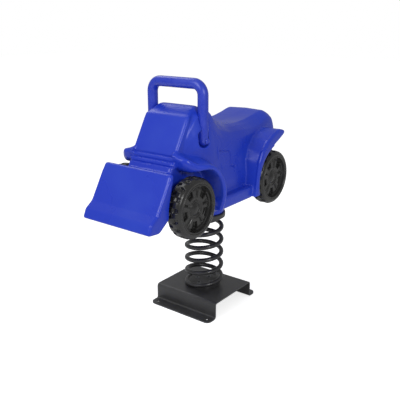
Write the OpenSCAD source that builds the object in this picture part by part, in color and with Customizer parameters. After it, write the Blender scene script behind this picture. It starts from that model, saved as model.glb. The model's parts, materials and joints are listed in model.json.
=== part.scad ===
// Spring rider in the shape of a small wheel loader.
// A moulded body with a handle and four turning wheels stands on one coil spring.
// The front, where the blade is, faces -Y. The ground is Z = 0 under the spring's axis.

/* [Base] */
// Length of the folded base plate along X
base_w = 278; // [240:1:320]
// Depth of the base between its two folded walls
base_d = 236; // [210:1:280]
// Height of the base's top face
base_h = 66; // [50:1:90]
// Thickness of the steel sheet
sheet_t = 6; // [4:0.5:8]
// Width of each floor flange, from the wall's outer face
flange_w = 42; // [34:1:60]
// Outer radius of the sheet's folds
fold_r = 12; // [9:0.5:16]
// Radius of the flanges' free corners
flange_corner_r = 20; // [8:1:30]
// Radius of the anchor bolt holes
anchor_hole_r = 6.5; // [4:0.5:8]
// Distance of an anchor hole from the base's end
anchor_inset = 21; // [16:1:40]

/* [Spring] */
// Outer diameter of the coil
spring_od = 150; // [130:1:170]
// Diameter of the spring wire
wire_d = 17; // [14:1:20]
// Height of the spring between its two seats
spring_h = 294; // [260:1:330]
// Number of turns, with the flat end turns
coil_turns = 6.25; // [5:0.05:7]
// Share of a turn that lies flat at each end
end_flat = 0.42; // [0.3:0.01:0.5]
// Angle at which the lower end of the wire starts
coil_start = 86; // [0:1:359]

/* [Spring clamps] */
// How far the clamp discs reach into the end turns
clamp_bite = 4; // [2:0.5:6]
// Thickness of a clamp disc
clamp_t = 13; // [12:0.5:16]
// Radius of the circle that the clamp bolts lie on
clamp_bolt_pcr = 32; // [26:1:38]
// Radius of the clamp bolts
clamp_bolt_r = 5; // [4:0.5:6]
// Height of the rim of the pressed cup over the top turn
cup_h = 18; // [12:1:26]
// Sheet thickness of the cup
cup_t = 4; // [3:0.5:5]

/* [Wheels] */
// Outer diameter over the tread
wheel_d = 204; // [190:1:210]
// Width over the tread
wheel_w = 55; // [52:1:60]
// Depth of the pockets between the tread blocks
lug_h = 8; // [5:0.5:10]
// Number of pockets in each of the two rows
lug_count = 16; // [12:1:18]
// Diameter of the dished face
rim_d = 152; // [136:1:160]
// Depth of the dish in the wheel's face
dish_depth = 14; // [10:0.5:16]
// Number of spokes
spoke_count = 5; // [4:1:7]
// Width of a spoke
spoke_w = 30; // [20:1:34]
// Distance from the middle plane to a wheel's outer face
wheel_face_x = 175; // [172:1:180]
// Height of the axles over the belly
axle_h = 108; // [104:1:116]
// Place of the front axle
front_axle_y = -263; // [-268:1:-258]
// Place of the rear axle
rear_axle_y = 219; // [214:1:226]
// Radius of the axles
axle_r = 8; // [6:0.5:9]
// Radius of the hub caps
hub_cap_r = 22; // [21:0.5:25]

/* [Body] */
// Half the width of the bonnet
bonnet_half = 94; // [88:1:98]
// Half the width over the axle bosses, under the seat
core_half = 108; // [104:1:109]
// Half the width over the handle's feet
flank_half = 126; // [122:1:130]
// Half the width of the blade
blade_half = 145; // [135:1:152]
// Radius of the blade's edges
blade_edge_r = 6; // [3:0.5:8]
// Height of the blade's top edge over the belly
blade_top_h = 236; // [230:1:242]
// Height of the blade's cutting edge over the belly
blade_low_h = 69; // [64:1:74]
// Gap between the blade's back and the front wheels
blade_gap = 3; // [3:0.5:8]
// Distance from the middle plane to the fenders' lips
lip_x = 186; // [181:1:192]
// Gap between the tread and the front wheel arches
front_arch_gap = 33; // [28:1:36]
// Gap between the tread and the rear wheel arches
rear_arch_gap = 31; // [27:1:34]
// Distance from the middle plane to the running boards' outer faces
board_x = 167; // [155:1:175]
// Height of the running boards' lower faces over the belly
board_low_h = 63; // [56:1:70]
// Height of a running board's outer face
board_h = 44; // [36:1:50]
// Width of the grooves across the bonnet
groove_w = 6; // [3:0.5:8]
// Distance between the bonnet's grooves, down its slope
groove_pitch = 17; // [14:0.5:18]
// Height of the top groove over the belly
groove_top_h = 268; // [262:1:290]

/* [Handle] */
// Diameter of the handle tube
tube_d = 36; // [30:1:38]
// Distance between the centres of the handle's legs
leg_pitch = 216; // [210:1:220]
// Height of the top of the handle over the belly
handle_top_h = 505; // [485:1:525]
// Place of the handle along the body
handle_y = -152; // [-156:1:-146]
// Bend radius on the tube's centre line
bend_r = 36; // [30:1:50]
// Height of the lower ends of the legs over the belly
leg_foot_h = 304; // [296:1:312]

/* [Hidden] */
$fn = 64;

body_blue = [0.20, 0.27, 0.72];
steel_grey = [0.22, 0.22, 0.23];
wheel_grey = [0.16, 0.16, 0.17];
zinc = [0.62, 0.63, 0.65];

// Clearances between pieces
seat_gap = 0.3;
run_gap = 0.05;
pocket_gap = 0.4;

// Spring places
wire_r = wire_d / 2;
coil_r = spring_od / 2 - wire_r;
coil_low_z = base_h + wire_r + seat_gap;
coil_high_z = base_h + spring_h - wire_r - seat_gap;
coil_pitch = (coil_high_z - coil_low_z) / (coil_turns - 2 * end_flat);
rings_per_turn = 24;
wire_sides = 6;

// The clamp discs screw into the end turns
clamp_r = coil_r - wire_r + clamp_bite;
clamp_head_depth = clamp_bolt_r * 1.1;

// The cup hangs over the spring, and the body's belly rests on the cup
cup_clear = 1;
cup_r = spring_od / 2 + cup_clear + cup_t;
cup_rim_r = cup_t + 1;
cup_low_z = base_h + spring_h + cup_t - cup_h;
belly_z = base_h + spring_h + cup_t;

// Bolt sizes follow the bolt's radius
function head_r(r) = r * 1.85;
function head_h(r) = r * 1.3;
function nut_h(r) = r * 1.6;
insert_r = clamp_bolt_r * 1.6;
insert_h = 30;

// Wheel places
wheel_r = wheel_d / 2;
carcass_r = wheel_r - lug_h;
wheel_in_x = wheel_face_x - wheel_w;
hub_face_x = wheel_face_x - dish_depth;
bush_r = axle_r + 4;
counterbore_r = bush_r + 5;
counterbore_depth = 13;
hub_r = hub_cap_r + 4;
bush_out_x = hub_face_x - counterbore_depth;
axle_nut_h = 7;
axle_end_x = bush_out_x + axle_nut_h + 3;
spacer_r = bush_r + 8;

// Handle bolts
handle_bolt_r = 4;
handle_bolt_in_x = leg_pitch / 2 - tube_d;
handle_head_r = 10;

// Wheel arches leave room round the tread
front_arch_r = wheel_r + front_arch_gap;
rear_arch_r = wheel_r + rear_arch_gap;
rear_arch_y = rear_axle_y + 5;

// From here to the wheels, heights are measured from the belly's underside.
// The bonnet's front plane, as Y for a given height
plane_h = 267;
plane_y = -279;
plane_run = 69 / 116;
function bonnet_y(h) = plane_y + (h - plane_h) * plane_run;
plane_angle = atan(plane_run);

// Points on an arc about c, from angle a0 to a1
function arc(c, r, a0, a1, n) =
    [for (k = [0 : n]) let (a = a0 + (a1 - a0) * k / n) [c.x + r * cos(a), c.y + r * sin(a)]];

// A vertex of a closed outline, moved inwards by d
function unit(v) = v / norm(v);
function inset_point(p, i, d) =
    let (
        n = len(p),
        u = unit(p[i] - p[(i + n - 1) % n]),
        v = unit(p[(i + 1) % n] - p[i]),
        nu = [-u.y, u.x],
        nv = [-v.y, v.x]
    )
    p[i] + d * (nu + nv) / (1 + nu * nv);

// The middle of some points
function mean(points) = [for (p = points) 1] * points / len(points);

// Joins equal rings of points into one closed skin. Each end closes with triangles
// to an eye, a point of the end's plane that sees its whole outline.
module skin(rings, eyes = undef) {
    m = len(rings);
    n = len(rings[0]);
    polyhedron(
        points = concat(
            [for (ring = rings) each ring],
            eyes == undef ? [mean(rings[0]), mean(rings[m - 1])] : eyes
        ),
        faces = concat(
            [for (i = [0 : n - 1]) [i, (i + 1) % n, m * n]],
            [for (j = [0 : m - 2], i = [0 : n - 1])
                each let (a = j * n + i, b = j * n + (i + 1) % n)
                    [[a, a + n, b + n], [a, b + n, b]]],
            [for (i = [0 : n - 1]) let (a = (m - 1) * n) [a + (i + 1) % n, a + i, m * n + 1]]
        ),
        convexity = 8
    );
}

// Rows of numbers with smooth rows added between them
function between(a, b, c, d, t) =
    0.5 * (2 * b + (c - a) * t + (2 * a - 5 * b + 4 * c - d) * t * t + (3 * b - a - 3 * c + d) * t * t * t);
function eased(rows, steps) =
    let (last = len(rows) - 1)
    concat(
        [for (i = [0 : last - 1], k = [0 : steps - 1])
            between(rows[max(i - 1, 0)], rows[i], rows[i + 1], rows[min(i + 2, last)], k / steps)],
        [rows[last]]
    );

// Places across a moulding with rounded long edges, as [x, inset]
function rounding(half, r, steps) =
    let (turns = [for (k = [0 : steps]) 90 * k / steps])
    concat(
        [for (a = turns) [-half + r - r * cos(a), r * (1 - sin(a))]],
        [for (k = [steps : -1 : 0]) [half - r + r * cos(turns[k]), r * (1 - sin(turns[k]))]]
    );

// A side outline in Y and Z, given width along X, with rounded long edges. The eye sees all of it.
module moulding(outline, half, r, eye, steps = 4) {
    skin(
        [for (s = rounding(half, r, steps))
            [for (i = [0 : len(outline) - 1])
                let (q = inset_point(outline, i, s[1])) [s[0], q.x, q.y]]],
        [[-half, eye.x, eye.y], [half, eye.x, eye.y]]
    );
}

module both_sides() {
    children();
    mirror([1, 0, 0]) children();
}

module along_x(x0, x1) {
    translate([x0, 0, 0]) rotate([90, 0, 90]) linear_extrude(x1 - x0) children();
}

// Cylinder along X through a point in Y and Z
module x_rod(x0, x1, y, z, r, fn = 64) {
    translate([x0, y, z]) rotate([0, 90, 0]) cylinder(r = r, h = x1 - x0, $fn = fn);
}

module clamp_bolt_places() {
    for (k = [0 : 3]) rotate(90 * k) translate([clamp_bolt_pcr, 0, 0]) children();
}

// Base

function channel_half() =
    let (ri = fold_r - sheet_t, y = base_d / 2, f = base_d / 2 + flange_w)
    concat(
        arc([y - fold_r, base_h - fold_r], fold_r, 90, 0, 5),
        arc([y - sheet_t + fold_r, fold_r], ri, 180, 270, 5),
        [[f, sheet_t], [f, 0]],
        arc([y - sheet_t + fold_r, fold_r], fold_r, 270, 180, 5),
        arc([y - fold_r, base_h - fold_r], ri, 0, 90, 5)
    );

function mirrored(p) = [for (i = [len(p) - 1 : -1 : 0]) [-p[i].x, p[i].y]];

module flange_corner_cut(y_edge) {
    translate([base_w / 2 - flange_corner_r, y_edge - flange_corner_r, -1])
    difference() {
        cube([flange_corner_r + 1, flange_corner_r + 1, sheet_t + 2]);
        translate([0, 0, -1]) cylinder(r = flange_corner_r, h = sheet_t + 4);
    }
}

module base_frame() {
    edge = base_d / 2 + flange_w;
    hole_x = base_w / 2 - anchor_inset;
    hole_y = edge - flange_w / 2;
    color(steel_grey)
    difference() {
        along_x(-base_w / 2, base_w / 2) polygon(concat(channel_half(), mirrored(channel_half())));
        for (sx = [0, 1], sy = [0, 1])
            mirror([sx, 0, 0]) mirror([0, sy, 0]) {
                flange_corner_cut(edge);
                translate([hole_x, hole_y, -1]) cylinder(r = anchor_hole_r, h = sheet_t + 2);
            }
        translate([0, 0, base_h - sheet_t - 1])
        clamp_bolt_places() cylinder(r = clamp_bolt_r + pocket_gap, h = sheet_t + 2);
    }
}

// Spring

// Height above the lower seat after t turns: flat, rising, flat
function coil_rise(t) =
    coil_pitch * min(max(t - end_flat, 0), coil_turns - 2 * end_flat);

function coil_point(t) =
    let (a = coil_start + 360 * t)
    [coil_r * cos(a), coil_r * sin(a), coil_low_z + coil_rise(t)];

coil_steps = ceil(coil_turns * rings_per_turn);
function coil_t(k) = coil_turns * k / coil_steps;

// A ring of the wire stands square to the helix
function wire_ring(k, r) =
    let (
        t = coil_t(k),
        p = coil_point(t),
        a = coil_start + 360 * t,
        ahead = coil_point(min(t + 0.01, coil_turns)),
        behind = coil_point(max(t - 0.01, 0)),
        along = unit(ahead - behind),
        out = [cos(a), sin(a), 0],
        up = cross(along, out)
    )
    [for (i = [0 : wire_sides - 1])
        let (b = 360 * (i + 0.5) / wire_sides) p + r * (out * cos(b) + up * sin(b))];

module coil_tube(r) {
    skin([for (k = [0 : coil_steps]) wire_ring(k, r)]);
}

// The least distance between wire centres a turn or more apart, less the wire
coil_gap = min([for (k = [0 : coil_steps - rings_per_turn + 2], j = [k + rings_per_turn - 2 : coil_steps])
    norm(coil_point(coil_t(k)) - coil_point(coil_t(j)))]) - wire_d;
echo(str("least gap between spring turns, mm: ", coil_gap));

module coil_spring() {
    color(steel_grey) coil_tube(wire_r);
}

// A disc screwed into an end turn: the wire lies in a groove in its rim, the bolt heads are sunk
module clamp_disc(z, head_up) {
    color(steel_grey)
    difference() {
        translate([0, 0, z]) cylinder(r = clamp_r, h = clamp_t);
        coil_tube(wire_r + pocket_gap);
        clamp_bolt_places() {
            translate([0, 0, z - 1]) cylinder(r = clamp_bolt_r + pocket_gap, h = clamp_t + 2);
            translate([0, 0, head_up ? z + clamp_t - clamp_head_depth : z - 1])
            cylinder(r = head_r(clamp_bolt_r) + pocket_gap, h = clamp_head_depth + 1);
        }
    }
}

module lower_clamp() {
    clamp_disc(base_h, true);
}

// Socket bolt with its head's top face at height 0 and its shank below
module socket_bolt(r, length) {
    difference() {
        union() {
            translate([0, 0, -length]) cylinder(r = r, h = length);
            translate([0, 0, -clamp_head_depth]) cylinder(r = head_r(r), h = clamp_head_depth);
        }
        translate([0, 0, -clamp_head_depth * 0.6]) cylinder(r = r * 0.9, h = clamp_head_depth, $fn = 6);
    }
}

module lower_clamp_bolts() {
    color(zinc)
    clamp_bolt_places()
    translate([0, 0, base_h + clamp_t])
    socket_bolt(clamp_bolt_r, clamp_t + sheet_t + nut_h(clamp_bolt_r) + 3);
}

module lower_clamp_nuts() {
    h = nut_h(clamp_bolt_r);
    color(zinc)
    clamp_bolt_places()
    translate([0, 0, base_h - sheet_t - h])
    difference() {
        cylinder(r = head_r(clamp_bolt_r), h = h, $fn = 6);
        translate([0, 0, -1]) cylinder(r = clamp_bolt_r + run_gap, h = h + 2);
    }
}

module upper_cup() {
    color(steel_grey)
    difference() {
        translate([0, 0, cup_low_z])
        rotate_extrude()
        difference() {
            union() {
                square([cup_r - cup_rim_r, cup_h]);
                square([cup_r, cup_h - cup_rim_r]);
                translate([cup_r - cup_rim_r, cup_h - cup_rim_r]) circle(r = cup_rim_r);
            }
            translate([-1, -1]) square([cup_r - cup_t + 1, cup_h - cup_t + 1]);
        }
        translate([0, 0, belly_z - cup_t - 1])
        clamp_bolt_places() cylinder(r = clamp_bolt_r + pocket_gap, h = cup_t + 2);
    }
}

module upper_clamp() {
    clamp_disc(base_h + spring_h - clamp_t, false);
}

module upper_clamp_bolts() {
    color(zinc)
    clamp_bolt_places()
    translate([0, 0, base_h + spring_h - clamp_t])
    mirror([0, 0, 1]) socket_bolt(clamp_bolt_r, clamp_t + cup_t + insert_h - 4);
}

// Threaded inserts moulded into the belly for the clamp bolts
module body_inserts() {
    color(zinc)
    clamp_bolt_places()
    translate([0, 0, belly_z])
    difference() {
        cylinder(r = insert_r, h = insert_h);
        translate([0, 0, -1]) cylinder(r = clamp_bolt_r + run_gap, h = insert_h);
    }
}

// Body

// Stands the rider, drawn with its belly at height 0, on the spring's cup
module on_spring() {
    translate([0, 0, belly_z]) children();
}

// Bonnet: nose, sloping front with a rounded brow, sloping top, and a back that falls to the seat
brow_r = 17;
bonnet_outline = concat(
    [[-346, 106], [-300, 76], [-60, 66], [-60, 330], [-100, 395]],
    arc([-146, 400], brow_r, 40, 112, 4),
    arc([-196.6, 375], brow_r, 112, 180 - plane_angle, 3),
    [[bonnet_y(233), 233], [bonnet_y(223) + 2, 221], [-346, 228]]
);

// The bonnet narrows towards its back edge
bonnet_back_half = bonnet_half - 17;
module bonnet() {
    intersection() {
        moulding(bonnet_outline, bonnet_half, 9, [-200, 190], 3);
        linear_extrude(500)
        polygon([
            [-bonnet_half - 6, -400], [bonnet_half + 6, -400], [bonnet_half + 6, -236],
            [bonnet_back_half, -135], [bonnet_back_half, -40],
            [-bonnet_back_half, -40], [-bonnet_back_half, -135], [-bonnet_half - 6, -236]
        ]);
    }
}

// Sides, seat and tail as sections across the body, from behind the bonnet's front to the tail.
// Each row: Y, underside's edge, skirt, middle of the side, shoulder, seat's crease, seat's edge, crown
hull_rows = [
    [-262, 70, 110, 82, 150, 84, 84, 235, 82, 258, 66, 268, 268],
    [-236, 84, 100, 98, 140, 99, 98, 250, 95, 306, 70, 314, 314],
    [-206, 86, 84, 100, 130, 103, 112, 278, 99, 352, 74, 360, 360],
    [-180, 88, 66, 100, 120, 114, 124, 292, 102, 383, 76, 385, 385],
    [-152, 90, 48, 108, 112, 124, 128, 292, 104, 396, 72, 396, 396],
    [-126, 90, 34, 136, 104, 130, 128, 288, 104, 400, 70, 398, 396],
    [-110, 90, 28, 136, 102, 130, 126, 284, 105, 390, 71, 390, 390],
    [-97, 90, 24, 136, 100, 129, 125, 280, 106, 376, 72, 381, 383],
    [-80, 92, 20, 136, 98, 128, 123, 276, 108, 348, 72, 371, 377],
    [-58, 92, 20, 136, 98, 128, 122, 268, 108, 328, 72, 365, 372],
    [-36, 92, 20, 136, 98, 127, 121, 262, 108, 318, 71, 357, 363],
    [-8, 92, 20, 136, 98, 127, 121, 257, 108, 311, 71, 340, 346],
    [20, 92, 20, 136, 98, 127, 121, 253, 108, 306, 71, 333, 334],
    [60, 92, 20, 136, 98, 127, 121, 251, 108, 305, 71, 329, 325],
    [100, 92, 22, 134, 98, 125, 120, 253, 108, 304, 71, 328, 324],
    [136, 90, 34, 122, 100, 119, 116, 256, 108, 302, 71, 330, 328],
    [170, 88, 48, 110, 110, 112, 112, 260, 107, 303, 71, 334, 334],
    [214, 86, 66, 107, 120, 108, 109, 270, 106, 310, 72, 342, 344],
    [250, 84, 86, 105, 136, 107, 108, 282, 104, 323, 73, 350, 352],
    [272, 82, 100, 104, 146, 107, 107, 284, 103, 327, 74, 351, 354],
    [292, 80, 114, 103, 156, 106, 106, 283, 101, 324, 74, 344, 347],
    [308, 76, 130, 101, 168, 104, 104, 279, 98, 317, 72, 336, 340],
    [322, 70, 152, 97, 186, 101, 101, 271, 92, 303, 65, 321, 328],
    [332, 60, 178, 88, 204, 95, 94, 261, 83, 286, 56, 301, 308],
    [338, 44, 208, 70, 222, 80, 78, 249, 66, 264, 42, 274, 280]
];

// The rows are drawn for a flank_half of 126. Another one stretches what lies outside 100.
function widened(x) = x < 100 ? x : 100 + (x - 100) * (flank_half - 100) / 26;

// One side of a section as [x, height], from the underside up to the seat's edge
function section_side(s) = [
    [s[1] / 2, s[2]], [s[1], s[2] + 6], [widened(s[3]), s[4]],
    [widened(s[5]), s[4] + 0.6 * (s[7] - s[4])], [widened(s[6]), s[7]], [s[8], s[9]], [s[10], s[11]]
];

module sides_and_seat() {
    skin([for (s = eased(hull_rows, 2))
        let (side = eased(section_side(s), 2), n = len(side))
        concat(
            [for (q = side) [-q.x, s[0], q.y]],
            [[0, s[0], s[12]]],
            [for (i = [n - 1 : -1 : 0]) [side[i].x, s[0], side[i].y]],
            [[0, s[0], s[2]]]
        )]);
}

// Round pad under the belly that the cup bolts to
module belly_pad() {
    cylinder(r = cup_r - cup_rim_r, h = 56);
}

// Blade: cutting edge, raked lip, flat face, top edge and a back that clears the front wheels
wheel_front_y = front_axle_y - wheel_r - blade_gap;
blade_outline = [
    [-467, blade_low_h + 4], [-461, blade_low_h - 2], [-418, blade_low_h - 6], [-410, blade_low_h - 2],
    [wheel_front_y - 3, 95], [wheel_front_y, 136], [wheel_front_y + 17, 202], [-342, blade_top_h - 8],
    [-346, blade_top_h - 1], [-354, blade_top_h], [-360, blade_top_h - 5], [-425, 122], [-455, 100]
];

// Outer outline of a rear fender: front wall, kink, underside, turned-down tip and top
rear_fender_outline = [
    [66, 67], [190, 67], [190, 241], [222, 255], [246, 267], [257, 273], [262, 280],
    [258, 287], [244, 292], [222, 293], [190, 282], [150, 262], [113, 228], [93, 191], [83, 136], [79, 104]
];
// The fender's front wall runs this far forward where it meets the body's side
fender_sweep = 14;

module soft_corner(x, y, z, r) {
    translate([x, y, z]) sphere(r = r, $fn = 16);
}

module running_board() {
    edge_r = 9;
    hull()
    for (y = [-122, 66], z = [board_low_h + edge_r, board_low_h + board_h - edge_r]) {
        x_rod(90, board_x - edge_r, y, z, edge_r, 24);
        soft_corner(board_x - edge_r, y, z, edge_r);
    }
}

// Sections of a front fender, from the running board over the wheel to its soft nose.
// Each row: angle about the axle, lip's place, inner radius, height at the root, lip's thickness
front_fender_rows = [
    [-18, board_x + 2, front_arch_r, 60, 18], [4, lip_x - 4, front_arch_r, 84, 18],
    [22, lip_x, front_arch_r, 84, 18], [40, lip_x, front_arch_r, 74, 18],
    [54, lip_x, front_arch_r, 58, 18], [64, lip_x - 3, front_arch_r - 3, 52, 18],
    [72, lip_x - 10, front_arch_r - 10, 54, 20], [78, lip_x - 18, front_arch_r - 17, 60, 25],
    [84, lip_x - 27, front_arch_r - 21, 64, 34], [89, lip_x - 35, front_arch_r - 21, 64, 42],
    [94, lip_x - 45, front_arch_r - 15, 56, 42], [98, lip_x - 62, front_arch_r - 4, 36, 28]
];

// A section in the plane of X and the radius: a root inside the body, a round lip, a dip behind it
function fender_section(s) =
    let (
        root = core_half - 24,
        half_t = s[4] / 2,
        rx = min(half_t, 14),
        c = [s[1] - rx, s[2] + half_t],
        dip = 0.12 * (s[3] - s[4])
    )
    concat(
        [[root, s[2]]],
        [for (b = [-90 : 36 : 90]) [c.x + rx * cos(b), c.y + half_t * sin(b)]],
        [[(c.x + root) / 2, s[2] + (s[3] + s[4]) / 2 - dip], [root, s[2] + s[3]]]
    );

module front_fender() {
    skin([for (s = eased(front_fender_rows, 3))
        [for (q = fender_section(s))
            [q.x, front_axle_y + q.y * cos(s[0]), axle_h + q.y * sin(s[0])]]]);
}

// A point of the rear fender's outline, s = 0 at the body's side and 1 at the lip
function swept(p, s) =
    let (share = min(max((230 - p.x) / 130, 0), 1))
    [p.x - fender_sweep * (1 - s) * share, p.y + 14 * (1 - s) * share];

module rear_fender() {
    r = 5;
    root_x = core_half - 12;
    eye = [170, 245];
    stations = concat(
        [[root_x, 0]],
        [for (a = [0 : 22.5 : 90]) [lip_x - r + r * sin(a), r * (1 - cos(a))]]
    );
    skin(
        [for (st = stations)
            let (
                s = (st[0] - root_x) / (lip_x - root_x),
                line = [for (p = rear_fender_outline) swept(p, s)]
            )
            [for (i = [0 : len(line) - 1]) let (q = inset_point(line, i, st[1])) [st[0], q.x, q.y]]],
        [[root_x, eye.x, eye.y], [lip_x, eye.x, eye.y]]
    );
}

// Room for the wheels. The front fender's own inner side lies a little within the front arch.
arch_in_x = core_half - 4;
module wheel_arches() {
    x_rod(arch_in_x, lip_x + 20, front_axle_y, axle_h, front_arch_r + 4, 72);
    x_rod(arch_in_x, lip_x + 20, rear_arch_y, axle_h, rear_arch_r, 72);
}

// Round bosses in the arches' inner walls, which the axles' spacers bear on
module axle_bosses() {
    for (y = [front_axle_y, rear_axle_y])
        x_rod(core_half / 2, core_half, y, axle_h, spacer_r + 14, 48);
}

// Room for a handle leg, with the hollow round its foot
module leg_channel() {
    x = leg_pitch / 2;
    r = tube_d / 2 + seat_gap;
    hull() {
        translate([x, handle_y, leg_foot_h]) sphere(r = r, $fn = 32);
        translate([x, handle_y, leg_foot_h]) cylinder(r = r, h = handle_top_h - leg_foot_h, $fn = 32);
    }
    hull()
    for (h = [leg_foot_h - 4, leg_foot_h + 22]) {
        soft_corner(x + 12, handle_y - 21, h, 14);
        soft_corner(x + 10, handle_y - 6, h, 17);
        soft_corner(x + 30, handle_y - 20, h, 16);
    }
    x_rod(handle_bolt_in_x - 1, x, handle_y, leg_foot_h, handle_bolt_r + pocket_gap, 32);
    x_rod(x, flank_half + 14, handle_y, leg_foot_h, handle_head_r + 1.6, 32);
}

module bonnet_grooves() {
    for (k = [0 : 2]) {
        h = groove_top_h - k * groove_pitch * cos(plane_angle);
        x_rod(-bonnet_half - 20, bonnet_half + 20, bonnet_y(h), h, groove_w / 2, 16);
    }
}

module body_shell() {
    color(body_blue)
    on_spring()
    difference() {
        union() {
            difference() {
                bonnet();
                bonnet_grooves();
            }
            belly_pad();
            moulding(blade_outline, blade_half, blade_edge_r, [-400, 120]);
            difference() {
                union() {
                    sides_and_seat();
                    both_sides() rear_fender();
                }
                both_sides() wheel_arches();
            }
            both_sides() {
                axle_bosses();
                running_board();
                front_fender();
            }
        }
        both_sides() leg_channel();
        for (y = [front_axle_y, rear_axle_y])
            x_rod(-lip_x, lip_x, y, axle_h, axle_r + pocket_gap, 48);
        translate([0, 0, -1])
        clamp_bolt_places() cylinder(r = insert_r + pocket_gap, h = insert_h + 1 + pocket_gap, $fn = 32);
    }
}

// Handle

module handle_tube(r) {
    x = leg_pitch / 2;
    top = handle_top_h - tube_d / 2;
    both_sides() {
        translate([x, handle_y, leg_foot_h]) cylinder(r = r, h = top - bend_r - leg_foot_h);
        translate([x - bend_r, handle_y, top - bend_r])
        rotate([90, 0, 0])
        rotate_extrude(angle = 90) translate([bend_r, 0]) circle(r = r);
    }
    x_rod(bend_r - x, x - bend_r, handle_y, top, r);
}

module handle_bar() {
    x = leg_pitch / 2;
    color(body_blue)
    on_spring()
    difference() {
        union() {
            handle_tube(tube_d / 2);
            both_sides() translate([x, handle_y, leg_foot_h]) sphere(r = tube_d / 2);
        }
        both_sides() x_rod(x - tube_d, x + tube_d, handle_y, leg_foot_h, handle_bolt_r + run_gap);
    }
}

// Painted dome-headed bolts that hold the handle's feet
module handle_bolts() {
    x = leg_pitch / 2 + tube_d / 2;
    dome_h = 5;
    color(body_blue)
    on_spring()
    both_sides() {
        x_rod(handle_bolt_in_x, x + 2, handle_y, leg_foot_h, handle_bolt_r);
        translate([x + seat_gap, handle_y, leg_foot_h]) rotate([0, 90, 0])
        rotate_extrude()
        intersection() {
            translate([0, dome_h - 13]) circle(r = 13);
            square([handle_head_r, dome_h]);
        }
    }
}

// Axles

module axle(y) {
    color(zinc) on_spring() x_rod(-axle_end_x, axle_end_x, y, axle_h, axle_r);
}

module front_axle() {
    axle(front_axle_y);
}

module rear_axle() {
    axle(rear_axle_y);
}

module axle_ring(x0, x1, y, r, fn) {
    difference() {
        x_rod(x0, x1, y, axle_h, r, fn);
        x_rod(x0 - 1, x1 + 1, y, axle_h, axle_r + run_gap);
    }
}

module axle_spacers() {
    color(zinc)
    on_spring()
    both_sides()
    for (y = [front_axle_y, rear_axle_y])
        axle_ring(core_half, wheel_in_x - seat_gap, y, spacer_r, 64);
}

module axle_nuts() {
    x0 = bush_out_x + seat_gap;
    color(zinc)
    on_spring()
    both_sides()
    for (y = [front_axle_y, rear_axle_y])
        axle_ring(x0, x0 + axle_nut_h, y, axle_r * 1.6, 6);
}

// Wheels, drawn at the origin with the outer face up at height wheel_w

shoulder_r = 11;
inner_shoulder_r = 18;
dish_floor = wheel_w - dish_depth;

// Half the section of the solid wheel: rounded tread, dished face, hollow back and bore
module wheel_section() {
    difference() {
        union() {
            square([wheel_r - inner_shoulder_r, wheel_w]);
            translate([0, inner_shoulder_r]) square([wheel_r - shoulder_r, wheel_w - inner_shoulder_r]);
            translate([0, inner_shoulder_r]) square([wheel_r, wheel_w - inner_shoulder_r - shoulder_r]);
            translate([wheel_r - inner_shoulder_r, inner_shoulder_r]) circle(r = inner_shoulder_r);
            translate([wheel_r - shoulder_r, wheel_w - shoulder_r]) circle(r = shoulder_r);
        }
        translate([-1, dish_floor]) square([hub_r + 1, dish_depth + 1]);
        polygon([
            [hub_r - 1, dish_floor], [rim_d / 2 - 7, dish_floor + 2],
            [rim_d / 2 - 2, wheel_w - 2], [rim_d / 2 + 1, wheel_w + 1], [hub_r - 1, wheel_w + 1]
        ]);
        translate([hub_r + 4, -1]) square([rim_d / 2 - hub_r - 8, 15]);
        translate([-1, -1]) square([bush_r + 1, wheel_w + 2]);
    }
}

// The windows between the spokes
module spoke_windows() {
    linear_extrude(wheel_w)
    difference() {
        circle(r = rim_d / 2 - 9);
        circle(r = hub_r + 3);
        for (k = [0 : spoke_count - 1])
            rotate(360 * k / spoke_count) translate([0, -spoke_w / 2]) square([rim_d, spoke_w]);
    }
}

// One row of pockets between the tread blocks
module tread_pockets(z0, z1, turn) {
    step = 360 / lug_count;
    half_open = step * 0.17;
    translate([0, 0, z0])
    linear_extrude(z1 - z0)
    for (k = [0 : lug_count - 1])
        rotate(step * (k + turn))
        polygon([
            [carcass_r * cos(half_open), -carcass_r * sin(half_open)],
            [(wheel_r + 4) * cos(half_open * 1.5), -(wheel_r + 4) * sin(half_open * 1.5)],
            [(wheel_r + 4) * cos(half_open * 1.5), (wheel_r + 4) * sin(half_open * 1.5)],
            [carcass_r * cos(half_open), carcass_r * sin(half_open)]
        ]);
}

module wheel_at_origin() {
    difference() {
        rotate_extrude() wheel_section();
        translate([0, 0, dish_floor - 12]) spoke_windows();
        translate([0, 0, dish_floor - counterbore_depth]) cylinder(r = counterbore_r, h = wheel_w);
        tread_pockets(-1, wheel_w * 0.42, 0);
        tread_pockets(wheel_w * 0.5, wheel_w - 7, 0.5);
    }
}

// Stands a piece drawn at the origin on its axle, outer face towards side * X
module at_wheel(side, y) {
    on_spring()
    mirror([side < 0 ? 1 : 0, 0, 0])
    translate([wheel_in_x, y, axle_h]) rotate([90, 0, 90]) children();
}

module wheel(side, y) {
    color(wheel_grey) at_wheel(side, y) wheel_at_origin();
}

module bush(side, y) {
    color(zinc)
    at_wheel(side, y)
    difference() {
        cylinder(r = bush_r, h = dish_floor - counterbore_depth);
        translate([0, 0, -1]) cylinder(r = axle_r + run_gap, h = wheel_w);
    }
}

// Domed cap over the axle's nut, with a ring that snaps into the counterbore
module cap(side, y) {
    dome_h = 7;
    ring_out = counterbore_r - seat_gap;
    dome_r = (hub_cap_r * hub_cap_r + dome_h * dome_h) / (2 * dome_h);
    color(wheel_grey)
    at_wheel(side, y)
    translate([0, 0, dish_floor])
    rotate_extrude() {
        intersection() {
            translate([0, dome_h - dome_r]) circle(r = dome_r, $fn = 180);
            square([hub_cap_r, dome_h]);
        }
        translate([ring_out - 2.5, -5]) square([2.5, 5.5]);
    }
}

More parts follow.
